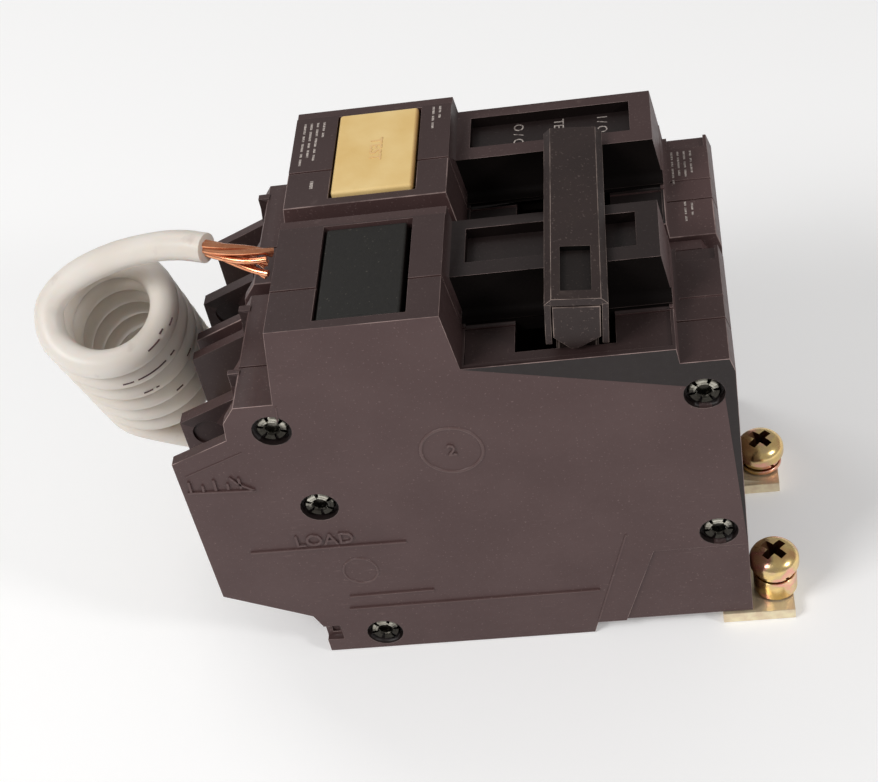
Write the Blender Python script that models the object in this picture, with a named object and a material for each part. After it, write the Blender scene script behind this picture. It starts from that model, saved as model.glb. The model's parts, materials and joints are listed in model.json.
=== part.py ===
"""Two-pole bolt-on ground-fault circuit breaker, modelled as the pieces it is put together from.

Frame: +X runs from the load end to the line end, +Y across the poles from the near pole to the far
pole, and +Z from the mounting base up to the handle. Z = 0 is the base plane, and X = Y = 0 is the
middle of the breaker without its coiled neutral lead. Lengths below are in millimetres.
"""
from math import cos, pi, radians, sin

import bmesh
import bpy
from mathutils import Matrix, Vector

MM = 0.001
GAP = 0.3                    # clearance kept between separate pieces

# Case: each pole is a narrow cover half and a wide base half, with a spacer between the poles.
CASE_WIDTH = 50.8
POLE_WIDTH = 24.1
POLE_PITCH = CASE_WIDTH - POLE_WIDTH
PARTING = 8.4                # from a pole's near face to the joint between its cover and its base
WALL = 1.8
NEAR_Y = -CASE_WIDTH / 2
FAR_Y = NEAR_Y + POLE_PITCH
LOAD_X = -44.85
LINE_X = 37.4
FRONT_Z = 70.0               # top of the button blocks
RIM_Z = 66.6                 # rim around the label windows
WELL_Z = 59.9                # sill of the handle wells
LABEL_Z = 57.2               # lower step at the line end
SHELF_Z = 56.4               # lower step at the load end
STRAP_SEAT_Z = 2.3           # raised underside above the line straps
RIM_Y = 11.8                 # from a pole's near face to the rim

# Handle: a pivot deep in the case, a neck through the well's slot.
PIVOT_X, PIVOT_Z = 14.6, 40.0
SLOT_HALF_X = 7.0
SLOT_Y = (2.9, 9.3)
HANDLE_TILT = radians(5.0)
NECK_HALF_X = 2.9
TIE_TOP_Z = 69.3
TIE_HALF_X = 4.3
TIE_WALL = 1.2
TIE_LENGTH = 38.3
TIE_LEG = 8.6
TIE_START = 1.7              # from the near face of a pole to the tie's legs
TIE_LEG_WIDTH = 8.7
POCKET_HALF_X = 2.1
POCKET_Y = (3.5, 12.7)
POCKET_DEPTH = 0.8

# Rivets through both poles, as (X, Z).
RIVETS = [(-28.6, 51.2), (-25.2, 34.4), (-21.0, 3.7), (32.9, 51.0), (33.2, 21.9)]
RIVET_RADIUS = 1.3
RIVET_FLARE = 2.4
RIVET_RECESS = 2.9
RIVET_RECESS_DEPTH = 1.2

# Buttons: opening shared by the blanking plug and the test button.
OPENING_X = (-18.8, -5.8)
OPENING_Y = (1.6, 21.6)
BUTTON_PLAY = 0.4            # round each button in its opening
BUTTON_DEPTH = 6.0
BUTTON_PROUD = 0.5
OPENING_DEPTH = 8.0
TEST_SPRING_HEIGHT = 4.8

# Label windows in the rim.
WINDOW_X = (1.3, 25.5)
WINDOW_Y = (14.6, 22.0)
WINDOW_DEPTH = 1.8

# Line terminals.
SCREW_X = 41.3
SCREW_Y = 5.2                # from the pole's near face
SCREW_RADIUS = 2.0
SCREW_LIFT = {"near": 3.0, "far": 0.0}
HEAD_RADIUS = 3.85
WASHER_BORE = 2.2
FLAT_WASHER_RADIUS = 3.4
FLAT_WASHER_THICK = 0.8
LOCK_WASHER_RADIUS = 3.2
LOCK_WASHER_THICK = 1.1
STRAP_THICK = 2.0
STRAP_X = (32.7, 43.9)
STRAP_Y = (0.0, 10.0)
RISER_X = (32.7, 34.6)
RISER_Y = (2.2, 9.8)
CONTACT_X = 24.0             # fixed and moving contact buttons
CONTACT_Y = 7.0

# Load terminals.
LUG_Y = (11.5, 21.5)
LUG_SCREW_X = -38.7
SLOT_FLOOR_Z = 26.0
INNER_WALL_X = -33.4

# Moving contacts and trip bar.
ARM_X, ARM_Z = 6.0, 30.0
TRIP_X, TRIP_Z = -4.0, 20.0
TRIP_BORE = 2.4
SOLENOID_Y, SOLENOID_Z = 16.0, 13.0

# Neutral lead.
WIRE_RADIUS = 2.25
COIL_RADIUS = 9.0
COIL_PITCH = 4.6
COIL_TURNS = 6.25
COIL_TOP = Vector((-56.9, 0.3, 55.7))
COIL_AXIS = Vector((0.0, -0.41, 0.912)).normalized()
EXIT = Vector((LOAD_X, 5.9, 20.0))
FREE_END = Vector((-36.6, -4.0, 68.6))
BARE_END = Vector((-27.6, -5.0, 65.2))

# Side outline of a pole, from the button block round by the load end, the base and the line end.
OUTLINE = [
    (-1.2, FRONT_Z), (-25.4, FRONT_Z), (-27.3, SHELF_Z), (-33.1, SHELF_Z), (-35.2, 53.5),
    (-35.6, 50.1), (LOAD_X, 46.1), (LOAD_X, 15.5), (-31.7, 9.0), (-30.6, 6.2), (-30.6, 0.0),
    (12.4, 0.0), (13.1, STRAP_SEAT_Z), (LINE_X, STRAP_SEAT_Z), (LINE_X, 54.8), (36.7, LABEL_Z),
    (30.0, LABEL_Z), (29.7, WELL_Z), (0.1, WELL_Z),
]
RIM_OUTLINE = [(-1.2, RIM_Z), (28.7, RIM_Z), (30.0, LABEL_Z), (30.0, 56.0), (-1.2, 56.0)]
CAVITY = [
    (-3.2, FRONT_Z - WALL), (-23.8, FRONT_Z - WALL), (-25.6, SHELF_Z - WALL),
    (INNER_WALL_X + WALL, SHELF_Z - WALL), (INNER_WALL_X + WALL, SLOT_FLOOR_Z - WALL),
    (LOAD_X + WALL, SLOT_FLOOR_Z - WALL), (LOAD_X + WALL, 16.8), (-30.2, 10.3), (-28.8, 6.8),
    (-28.8, WALL), (11.4, WALL), (12.2, STRAP_SEAT_Z + WALL), (LINE_X - WALL, STRAP_SEAT_Z + WALL),
    (LINE_X - WALL, LABEL_Z - 3.6), (28.0, LABEL_Z - 3.6), (28.0, WELL_Z - 2.2), (-1.4, WELL_Z - 2.2),
]


def clear_scene():
    for item in list(bpy.data.objects):
        bpy.data.objects.remove(item, do_unlink=True)


def material(name, color, roughness, metallic=0.0):
    made = bpy.data.materials.new(name)
    made.use_nodes = True
    shader = made.node_tree.nodes["Principled BSDF"]
    shader.inputs["Base Color"].default_value = (*color, 1.0)
    shader.inputs["Roughness"].default_value = roughness
    shader.inputs["Metallic"].default_value = metallic
    return made


PHENOLIC = (0.075, 0.055, 0.052)
BLACK = (0.02, 0.02, 0.019)
ZINC = (0.72, 0.56, 0.30)
TIN = (0.70, 0.68, 0.60)
COPPER = (0.80, 0.36, 0.20)
STEEL = (0.55, 0.55, 0.55)
YELLOW = (0.85, 0.52, 0.12)
PVC = (0.88, 0.86, 0.80)
BOARD_GREEN = (0.05, 0.22, 0.10)
CORE_BROWN = (0.16, 0.09, 0.05)
ENAMEL_RED = (0.42, 0.12, 0.05)


def new_object(name, mesh_builder, color, roughness=0.5, metallic=0.0, smooth=False):
    """Make one object from a bmesh, in metres."""
    mesh_builder.normal_update()
    bmesh.ops.recalc_face_normals(mesh_builder, faces=mesh_builder.faces)
    bmesh.ops.scale(mesh_builder, vec=(MM, MM, MM), verts=mesh_builder.verts)
    mesh = bpy.data.meshes.new(name)
    mesh_builder.to_mesh(mesh)
    mesh_builder.free()
    made = bpy.data.objects.new(name, mesh)
    bpy.context.scene.collection.objects.link(made)
    if color is not None:
        mesh.materials.append(material(name, color, roughness, metallic))
    if smooth:
        mesh.shade_smooth()
        mesh.set_sharp_from_angle(angle=radians(35))
    return made


def prism(name, outline, y_low, y_high, color=None, roughness=0.5, metallic=0.0):
    """Extrude an outline of (X, Z) points from y_low to y_high."""
    build = bmesh.new()
    ring = [build.verts.new((x, y_low, z)) for x, z in outline]
    face = build.faces.new(ring)
    moved = bmesh.ops.extrude_face_region(build, geom=[face])["geom"]
    corners = [v for v in moved if isinstance(v, bmesh.types.BMVert)]
    bmesh.ops.translate(build, vec=(0, y_high - y_low, 0), verts=corners)
    return new_object(name, build, color, roughness, metallic)


def box(name, low, high, color=None, roughness=0.5, metallic=0.0):
    """Box between two corners."""
    outline = [(low[0], low[2]), (high[0], low[2]), (high[0], high[2]), (low[0], high[2])]
    return prism(name, outline, low[1], high[1], color, roughness, metallic)


def turned(name, profile, centre, axis="Z", color=None, roughness=0.5, metallic=0.0, sides=24):
    """Turn (radius, height) points round an axis; the first and last lie on it or close a ring."""
    build = bmesh.new()
    rings = []
    for radius, height in profile:
        if radius < 1e-6:
            rings.append([build.verts.new((0, 0, height))])
            continue
        steps = [2 * pi * i / sides for i in range(sides)]
        rings.append([build.verts.new((radius * cos(t), radius * sin(t), height)) for t in steps])
    closed = len(rings[0]) > 1
    pairs = list(zip(rings, rings[1:])) + ([(rings[-1], rings[0])] if closed else [])
    for lower, upper in pairs:
        for i in range(sides):
            j = (i + 1) % sides
            corners = [lower[i % len(lower)], lower[j % len(lower)], upper[j % len(upper)],
                       upper[i % len(upper)]]
            unique = list(dict.fromkeys(corners))
            build.faces.new(unique)
    if isinstance(axis, Vector):
        turn = axis.to_track_quat("Z", "Y").to_matrix().to_4x4()
    else:
        turn = {"Z": Matrix(), "Y": Matrix.Rotation(-pi / 2, 4, "X"),
                "X": Matrix.Rotation(pi / 2, 4, "Y")}[axis]
    bmesh.ops.transform(build, matrix=Matrix.Translation(centre) @ turn, verts=build.verts)
    return new_object(name, build, color, roughness, metallic, smooth=True)


def rod(name, centre, axis, radius, low, high, color=None, metallic=0.0, sides=20):
    """Plain round bar from low to high along an axis."""
    profile = [(0, low), (radius, low), (radius, high), (0, high)]
    return turned(name, profile, centre, axis, color, 0.4, metallic, sides)


def combine(target, tool, operation="DIFFERENCE"):
    """Cut one object from another, or join it on, and drop the tool."""
    tool.hide_render = True
    tool.display_type = "WIRE"
    change = target.modifiers.new("combine", "BOOLEAN")
    change.operation = operation
    change.solver = "EXACT"
    change.object = tool
    graph = bpy.context.evaluated_depsgraph_get()
    mesh = bpy.data.meshes.new_from_object(target.evaluated_get(graph))
    target.modifiers.clear()
    old = target.data
    materials = [m for m in old.materials if m]
    target.data = mesh
    mesh.materials.clear()
    for item in materials:
        mesh.materials.append(item)
    mesh.polygons.foreach_set("material_index", [0] * len(mesh.polygons))
    bpy.data.meshes.remove(old)
    bpy.data.objects.remove(tool, do_unlink=True)
    return target


def move_origin(item, x, y, z):
    """Put an object's origin on its joint's axis and leave its shape where it is."""
    point = Vector((x, y, z)) * MM
    item.data.transform(Matrix.Translation(-point))
    item.location = point


def soften(item, width, segments=1):
    """Round the hard edges of a moulded or cut piece."""
    bevel = item.modifiers.new("edge", "BEVEL")
    bevel.width = width * MM
    bevel.segments = segments
    bevel.limit_method = "ANGLE"
    bevel.angle_limit = radians(40)


def cut_common_features(half, y_low, y_high, pole_y):
    """Openings that cross the joint between a cover and its base."""
    button = box("cut", (OPENING_X[0], pole_y + OPENING_Y[0], FRONT_Z - OPENING_DEPTH),
                 (OPENING_X[1], pole_y + OPENING_Y[1], FRONT_Z + 1))
    combine(half, button)
    floor = box("cut", (0.6, pole_y + 0.9, WELL_Z - 0.4), (29.2, pole_y + RIM_Y, WELL_Z + 12))
    combine(half, floor)
    slot = box("cut", (PIVOT_X - SLOT_HALF_X, pole_y + SLOT_Y[0], WELL_Z - 4),
               (PIVOT_X + SLOT_HALF_X, pole_y + SLOT_Y[1], WELL_Z + 4))
    combine(half, slot)
    riser = box("cut", (RISER_X[0] - GAP, pole_y + RISER_Y[0] - GAP, -1),
                (RISER_X[1] + GAP, pole_y + STRAP_Y[1] + GAP, 6))
    combine(half, riser)
    for x, z in RIVETS:
        combine(half, rod("cut", (x, 0, z), "Y", RIVET_RADIUS + GAP, y_low - 1, y_high + 1))
    bore_end = min(y_high + 2, FAR_Y + POLE_WIDTH - WALL - 0.5)
    combine(half, rod("cut", (TRIP_X, 0, TRIP_Z), "Y", TRIP_BORE, pole_y + WALL + 1, bore_end))


def cover(name, pole_y, outer, pigtail_hole):
    """Narrow half of a pole, a tray open towards its base."""
    y_low, y_high = pole_y, pole_y + PARTING - GAP / 2
    half = prism(name, OUTLINE, y_low, y_high, PHENOLIC, 0.55)
    combine(half, prism("cut", CAVITY, y_low + WALL, y_high + 1))
    slot = box("cut", (LOAD_X - 1, y_low + WALL, SLOT_FLOOR_Z), (INNER_WALL_X, y_high + 1, FRONT_Z))
    combine(half, slot)
    cut_common_features(half, y_low, y_high, pole_y)
    if outer:
        for x, z in RIVETS:
            recess = rod("cut", (x, 0, z), "Y", RIVET_RECESS, y_low - 1, y_low + RIVET_RECESS_DEPTH)
            combine(half, recess)
        panel = [(23.2, 18.5), (LINE_X + 1, 18.5), (LINE_X + 1, 1.0), (17.2, 1.0)]
        combine(half, prism("cut", panel, y_low - 1, y_low + 0.35))
        combine(half, box("cut", (-31.5, y_low - 1, 2.8), (-27.9, y_low + 1.0, 6.2)))
    else:
        combine(half, rod("cut", (TRIP_X, 0, TRIP_Z), "Y", TRIP_BORE, y_low - 1, y_low + 4))
    if pigtail_hole:
        combine(half, rod("cut", EXIT, "X", WIRE_RADIUS + GAP, -3, 4))
    return half


def base(name, pole_y, outer):
    """Wide half of a pole, which carries the rim and the label window."""
    y_low, y_high = pole_y + PARTING + GAP / 2, pole_y + POLE_WIDTH
    half = prism(name, OUTLINE, y_low, y_high, PHENOLIC, 0.55)
    combine(half, prism("cut", RIM_OUTLINE, pole_y + RIM_Y, y_high), "UNION")
    combine(half, prism("cut", CAVITY, y_low - 1, y_high - WALL))
    slot = box("cut", (LOAD_X - 1, y_low + 2.2, SLOT_FLOOR_Z), (INNER_WALL_X, y_high - WALL, FRONT_Z))
    combine(half, slot)
    tongue = box("cut", (INNER_WALL_X - 1, pole_y + LUG_Y[0] + 1, SLOT_FLOOR_Z + 0.4),
                 (INNER_WALL_X + 3, pole_y + LUG_Y[1] - 1, SLOT_FLOOR_Z + 3.0))
    combine(half, tongue)
    cut_common_features(half, y_low, y_high, pole_y)
    window = box("cut", (WINDOW_X[0], pole_y + WINDOW_Y[0], RIM_Z - WINDOW_DEPTH),
                 (WINDOW_X[1], pole_y + WINDOW_Y[1], RIM_Z + 1))
    combine(half, window)
    if outer:
        for x, z in RIVETS:
            recess = rod("cut", (x, 0, z), "Y", RIVET_RECESS, y_high - RIVET_RECESS_DEPTH, y_high + 1)
            combine(half, recess)
    return half


def spacer():
    """Flat plate between the two poles."""
    inset = [(-2.6, 66.0), (-24.6, 66.0), (-26.4, 54.0), (-33.6, 54.0), (-37.2, 47.6), (-42.6, 44.6),
             (-42.6, 17.0), (-30.0, 10.6), (-28.8, 2.0), (11.8, 2.0), (12.6, 4.0), (35.6, 4.0),
             (35.6, 54.4), (34.4, 56.6), (28.4, 56.6), (27.6, 63.6), (-2.0, 63.6)]
    plate = prism("center_spacer", inset, NEAR_Y + POLE_WIDTH + GAP, FAR_Y - GAP, PHENOLIC, 0.6)
    for x, z in RIVETS:
        combine(plate, rod("cut", (x, 0, z), "Y", RIVET_RADIUS + GAP, -5, 5))
    combine(plate, rod("cut", (TRIP_X, 0, TRIP_Z), "Y", TRIP_BORE, -5, 5))
    return plate


def rivet(index, x, z):
    """Tubular rivet: a shank through both poles with a flared end in each recess."""
    half = CASE_WIDTH / 2 - RIVET_RECESS_DEPTH
    end = [(RIVET_RADIUS, half + 0.2), (RIVET_FLARE - 0.2, half + 0.2), (RIVET_FLARE, half + 0.55),
           (RIVET_FLARE - 0.2, half + 0.9), (0.75, half + 0.9), (0, half + 0.3)]
    profile = [(radius, -height) for radius, height in reversed(end)] + end
    return turned(f"rivet_{index}", profile, (x, 0, z), "Y", STEEL, 0.35, 1.0, 16)


def handle(name, pole_y):
    """Toggle handle: hub on the pivot, neck through the slot, and a squared tip."""
    middle = pole_y + sum(SLOT_Y) / 2
    half_y = 2.7
    tip = TIE_TOP_Z - TIE_WALL - 0.5 - PIVOT_Z
    outline = [(-3.6, -4.0), (3.6, -4.0), (4.2, 3.0), (NECK_HALF_X, 9.0), (NECK_HALF_X, tip),
               (-NECK_HALF_X, tip), (-NECK_HALF_X, 9.0), (-4.2, 3.0)]
    item = prism(name, outline, middle - half_y, middle + half_y, BLACK, 0.5)
    pin = rod("pin", (0, 0, 0), "Y", 1.6, middle - half_y - 0.8, middle + half_y + 0.8)
    combine(item, pin, "UNION")
    item.data.transform(Matrix.Rotation(HANDLE_TILT, 4, "Y"))
    item.location = Vector((PIVOT_X, 0, PIVOT_Z)) * MM
    soften(item, 0.3)
    return item


def handle_tie():
    """Channel that snaps over both handles and makes them move as one."""
    top = TIE_TOP_Z - PIVOT_Z
    y_low = NEAR_Y + TIE_START
    item = box("handle_tie", (-TIE_HALF_X, y_low, top - TIE_WALL),
               (TIE_HALF_X, y_low + TIE_LENGTH, top), BLACK, 0.5)
    for pole_y in (NEAR_Y, FAR_Y):
        for side in (-1, 1):
            inner, outer = side * (TIE_HALF_X - TIE_WALL), side * TIE_HALF_X
            leg = box("leg", (min(inner, outer), pole_y + TIE_START, top - TIE_LEG),
                      (max(inner, outer), pole_y + TIE_START + TIE_LEG_WIDTH, top))
            combine(item, leg, "UNION")
    pocket = box("cut", (-POCKET_HALF_X, NEAR_Y + POCKET_Y[0], top - POCKET_DEPTH),
                 (POCKET_HALF_X, NEAR_Y + POCKET_Y[1], top + 1))
    combine(item, pocket)
    item.data.transform(Matrix.Rotation(HANDLE_TILT, 4, "Y"))
    item.location = Vector((PIVOT_X, 0, PIVOT_Z)) * MM
    soften(item, 0.25)
    return item


def buttons():
    """Blanking plug in the near pole, sprung test button in the far pole."""
    for name, pole_y, color, top in (("blank_plug", NEAR_Y, BLACK, FRONT_Z),
                                     ("test_button", FAR_Y, YELLOW, FRONT_Z + BUTTON_PROUD)):
        low = (OPENING_X[0] + BUTTON_PLAY, pole_y + OPENING_Y[0] + BUTTON_PLAY, FRONT_Z - BUTTON_DEPTH)
        high = (OPENING_X[1] - BUTTON_PLAY, pole_y + OPENING_Y[1] - BUTTON_PLAY, top)
        item = box(name, low, high, color, 0.45)
        move_origin(item, sum(OPENING_X) / 2, pole_y + sum(OPENING_Y) / 2, FRONT_Z)
        soften(item, 0.3, 2)
    spring_profile = [(0, 0)]
    for coil in range(5):
        spring_profile.append((1.4 if coil % 2 else 2.0, TEST_SPRING_HEIGHT * coil / 4))
    spring_profile.append((0, TEST_SPRING_HEIGHT))
    middle = (sum(OPENING_X) / 2, FAR_Y + sum(OPENING_Y) / 2,
              FRONT_Z - BUTTON_DEPTH - GAP - TEST_SPRING_HEIGHT)
    turned("test_spring", spring_profile, middle, "Z", STEEL, 0.3, 1.0, 12)


def washer_profile(radius, thick):
    return [(WASHER_BORE, 0), (radius, 0), (radius, thick), (WASHER_BORE, thick)]


def line_terminal(prefix, pole_y, lift):
    """Line strap with its fixed contact, bolting screw, collar and lock washer."""
    centre_y = pole_y + SCREW_Y
    strap = box(f"{prefix}_line_strap", (STRAP_X[0], pole_y + STRAP_Y[0], 0),
                (STRAP_X[1], pole_y + STRAP_Y[1], STRAP_THICK), TIN, 0.35, 1.0)
    inner, outer = RISER_X
    riser = [(inner, 0.5), (outer, 0.5), (outer, 11.3), (22.0, 11.3), (22.0, 9.7), (inner, 9.7)]
    combine(strap, prism("riser", riser, pole_y + RISER_Y[0], pole_y + RISER_Y[1]), "UNION")
    contact = rod("contact", (CONTACT_X, pole_y + CONTACT_Y, 0), "Z", 2.0, 10.9, 12.2)
    combine(strap, contact, "UNION")
    combine(strap, rod("cut", (SCREW_X, centre_y, 0), "Z", SCREW_RADIUS + GAP, -1, 4))
    seat = STRAP_THICK + GAP
    collar = FLAT_WASHER_THICK + lift
    turned(f"{prefix}_flat_washer", washer_profile(FLAT_WASHER_RADIUS, collar),
           (SCREW_X, centre_y, seat), "Z", ZINC, 0.3, 1.0, 28)
    turned(f"{prefix}_lock_washer", washer_profile(LOCK_WASHER_RADIUS, LOCK_WASHER_THICK),
           (SCREW_X, centre_y, seat + collar + GAP), "Z", ZINC, 0.3, 1.0, 28)
    under = seat + collar + LOCK_WASHER_THICK + 2 * GAP
    head = [(0, 0.3), (1.7, 0.3), (SCREW_RADIUS, 0.6), (SCREW_RADIUS, under), (HEAD_RADIUS, under),
            (HEAD_RADIUS, under + 1.0), (3.35, under + 2.0), (2.3, under + 2.7), (0, under + 3.0)]
    screw = turned(f"{prefix}_line_screw", head, (SCREW_X, centre_y, 0), "Z", ZINC, 0.3, 1.0, 28)
    for size in ((2.1, 0.45), (0.45, 2.1)):
        cross = box("cut", (SCREW_X - size[0], centre_y - size[1], under + 1.3),
                    (SCREW_X + size[0], centre_y + size[1], under + 4))
        combine(screw, cross)
    move_origin(screw, SCREW_X, centre_y, 0)


def load_terminal(prefix, pole_y):
    """Lug in its pocket, with the tongue that carries it and its clamping screw."""
    y_low, y_high = pole_y + LUG_Y[0], pole_y + LUG_Y[1]
    middle = (y_low + y_high) / 2
    lug = box(f"{prefix}_load_lug", (-43.4, y_low, SLOT_FLOOR_Z + GAP), (-34.0, y_high, 38.0),
              TIN, 0.4, 1.0)
    tongue = box("tongue", (-35.0, y_low + 1.5, SLOT_FLOOR_Z + 0.7), (-24.0, y_high - 1.5, 28.2))
    combine(lug, tongue, "UNION")
    combine(lug, rod("cut", (-39, middle, 32.0), "X", 3.1, -8, 8))
    combine(lug, rod("cut", (LUG_SCREW_X, middle, 0), "Z", 2.3, 33, 40))
    profile = [(0, 34.4), (2.0, 34.4), (2.0, 39.0), (3.4, 39.0), (3.4, 41.2), (0, 41.2)]
    screw = turned(f"{prefix}_lug_screw", profile, (LUG_SCREW_X, middle, 0), "Z", STEEL, 0.35, 1.0, 20)
    combine(screw, box("cut", (LUG_SCREW_X - 4, middle - 0.45, 40.2), (LUG_SCREW_X + 4, middle + 0.45, 42)))
    move_origin(screw, LUG_SCREW_X, middle, 36)


def contact_system(prefix, pole_y):
    """Moving contact arm, its spring and braid, the arc chute and the bimetal strip."""
    y_low, y_high = pole_y + 5.4, pole_y + 8.6
    blade = [(ARM_X - 3, ARM_Z - 3), (ARM_X + 3, ARM_Z - 3.5), (24.0, 16.6), (26.0, 16.6),
             (26.0, 18.6), (ARM_X + 3, ARM_Z + 3), (ARM_X - 3, ARM_Z + 3)]
    arm = prism(f"{prefix}_contact_arm", blade, y_low, y_high, COPPER, 0.35, 1.0)
    combine(arm, rod("contact", (CONTACT_X, pole_y + CONTACT_Y, 0), "Z", 1.5, 15.0, 17.4), "UNION")
    move_origin(arm, ARM_X, pole_y + CONTACT_Y, ARM_Z)
    plates = box(f"{prefix}_arc_chute", (28.2, pole_y + 11.6, 17), (31.2, pole_y + 12.8, 40),
                 STEEL, 0.5, 1.0)
    for level in range(6):
        low = 18 + 3.8 * level
        fin = box("fin", (29.8, pole_y + 3.0, low), (31.0, pole_y + 12.2, low + 0.9))
        combine(plates, fin, "UNION")
    strip = box(f"{prefix}_bimetal", (-21.4, pole_y + 12.5, 8.0), (-20.4, pole_y + 19.5, 26.4),
                COPPER, 0.3, 1.0)
    yoke = [(-19.0, 9.0), (-12.0, 9.0), (-12.0, 10.4), (-17.6, 10.4), (-17.6, 22.6), (-12.0, 22.6),
            (-12.0, 24.0), (-19.0, 24.0)]
    combine(strip, prism("yoke", yoke, pole_y + 13.5, pole_y + 18.5), "UNION")
    combine(strip, box("bridge", (-21.0, pole_y + 14.5, 14), (-18.4, pole_y + 17.5, 16)), "UNION")
    spring_profile = [(0, 0)] + [(1.6 if i % 2 else 1.1, 0.6 * i + 0.1) for i in range(6)] + [(0, 3.2)]
    turned(f"{prefix}_toggle_spring", spring_profile, (PIVOT_X + 1.0, pole_y + 6.1, 31.8), "Z",
           STEEL, 0.3, 1.0, 10)
    braid = [(1.8, pole_y + 7, 29), (-2, pole_y + 8, 27.5), (-9, pole_y + 13, 30),
             (-16, pole_y + 16, 30.5), (-20.9, pole_y + 16, 27.6)]
    round_wire(f"{prefix}_braid", braid, 0.9, COPPER, 1.0, 12)


def smooth_route(points, count):
    """Read evenly spaced points from a smooth curve through the given ones."""
    knots = [Vector(p) for p in points]
    knots = [2 * knots[0] - knots[1]] + knots + [2 * knots[-1] - knots[-2]]
    spans = len(knots) - 3
    result = []
    for step in range(count + 1):
        place = step / count * spans
        span = min(int(place), spans - 1)
        t = place - span
        a, b, c, d = knots[span:span + 4]
        result.append(0.5 * ((2 * b) + (c - a) * t + (2 * a - 5 * b + 4 * c - d) * t ** 2
                             + (3 * b - a - 3 * c + d) * t ** 3))
    return result


def round_wire(name, points, radius, color, metallic, count):
    """Round wire along a smooth route, as a curve with filled ends."""
    curve = bpy.data.curves.new(name, "CURVE")
    curve.dimensions = "3D"
    curve.bevel_depth = radius * MM
    curve.bevel_resolution = 2
    curve.use_fill_caps = True
    spline = curve.splines.new("POLY")
    route = smooth_route(points, count)
    spline.points.add(len(route) - 1)
    for target, place in zip(spline.points, route):
        target.co = (*(place * MM), 1.0)
    curve.materials.append(material(name, color, 0.45, metallic))
    bpy.context.scene.collection.objects.link(bpy.data.objects.new(name, curve))


def trip_parts():
    """Parts shared by the poles: trip bar, ground-fault board, sensing coil and solenoid."""
    bar = rod("trip_bar", (TRIP_X, 0, TRIP_Z), "Y", 1.9, NEAR_Y + 4, FAR_Y + 20.5, BLACK, 0.0, 16)
    for pole_y in (NEAR_Y, FAR_Y):
        paddle = box("paddle", (TRIP_X - 1, pole_y + 13.6, TRIP_Z - 9), (TRIP_X + 1, pole_y + 18.4, TRIP_Z))
        combine(bar, paddle, "UNION")
    move_origin(bar, TRIP_X, 0, TRIP_Z)
    board_y = FAR_Y + POLE_WIDTH - WALL - 2.0
    board = box("circuit_board", (-24.0, board_y, 37.5), (8.0, board_y + 1.4, 56.0), BOARD_GREEN)
    for low, high in (((-20, 41), (-13, 46)), ((-9, 41), (-3, 49)), ((1, 43), (6, 48))):
        chip = box("chip", (low[0], board_y - 2.2, low[1]), (high[0], board_y + 0.5, high[1]))
        combine(board, chip, "UNION")
    combine(board, box("tab", (-15.4, board_y, 55), (-9.2, board_y + 1.4, 58.6)), "UNION")
    combine(board, box("switch", (-15.2, FAR_Y + 9, 56.2), (-9.4, board_y + 0.7, 58.6)), "UNION")
    turned("sensing_coil", [(3.4, 0), (7.6, 0), (7.6, 5.0), (3.4, 5.0)],
           (-16.0, FAR_Y + 12.0, 47.5), "Y", CORE_BROWN, 0.6, 0.0, 28)
    turned("trip_solenoid", [(1.6, 0), (4.4, 0), (4.4, 9), (1.6, 9)],
           (4.6, FAR_Y + SOLENOID_Y, SOLENOID_Z), "X", ENAMEL_RED, 0.5, 0.0, 20)
    plunger = rod("solenoid_plunger", (0, FAR_Y + SOLENOID_Y, SOLENOID_Z), "X", 1.2, -2.0, 12.0,
                  STEEL, 1.0, 14)
    move_origin(plunger, 0, FAR_Y + SOLENOID_Y, SOLENOID_Z)


def neutral_lead():
    """Coiled neutral lead: stretch out of the case, coil, and the free end with bare strands."""
    side = Vector((1, 0, 0))
    up = COIL_AXIS.cross(side)
    coil_length = COIL_TURNS * COIL_PITCH
    bottom = COIL_TOP - COIL_AXIS * coil_length
    outer = COIL_RADIUS + WIRE_RADIUS + 0.2
    inner = COIL_RADIUS - WIRE_RADIUS - 0.2
    half = coil_length / 2 + WIRE_RADIUS
    turned("pigtail_coil", [(inner, -half), (outer, -half), (outer, half), (inner, half)],
           (COIL_TOP + bottom) / 2, COIL_AXIS, PVC, 0.4, 0.0, 32)
    leave = bottom - up * COIL_RADIUS - COIL_AXIS * (2 * WIRE_RADIUS + 0.8)
    steps = ((2.0, 0, 0), (-1.8, 0, 0), (-6.0, -0.8, 0.6))
    lead = [EXIT + Vector(step) for step in steps] + [leave]
    round_wire("pigtail_lead", lead, WIRE_RADIUS, PVC, 0.0, 10)
    free = [Vector((-57.8, 1.5, 62.4)), Vector((-53.5, 1.1, 64.4)), Vector((-47.0, -0.4, 66.8)),
            Vector((-41.6, -2.0, 68.2)), FREE_END]
    round_wire("pigtail_end", free, WIRE_RADIUS, PVC, 0.0, 12)
    reach = (BARE_END - FREE_END).length
    turned("copper_strands", [(0, 1.0), (1.4, 1.0), (2.4, reach), (0, reach)], FREE_END,
           (BARE_END - FREE_END).normalized(), COPPER, 0.3, 1.0, 12)


clear_scene()
cover("near_cover", NEAR_Y, True, False)
base("near_base", NEAR_Y, False)
spacer()
cover("far_cover", FAR_Y, False, True)
base("far_base", FAR_Y, True)
for number, (rivet_x, rivet_z) in enumerate(RIVETS, 1):
    rivet(number, rivet_x, rivet_z)
handle("near_handle", NEAR_Y)
handle("far_handle", FAR_Y)
handle_tie()
buttons()
for pole, pole_start in (("near", NEAR_Y), ("far", FAR_Y)):
    line_terminal(pole, pole_start, SCREW_LIFT[pole])
    load_terminal(pole, pole_start)
    contact_system(pole, pole_start)
trip_parts()
neutral_lead()
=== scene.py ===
"""Looks of a two-pole ground-fault circuit breaker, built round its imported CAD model."""
import json
from math import cos, pi, radians, sin

import bmesh
import bpy
from mathutils import Euler, Matrix, Vector

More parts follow.
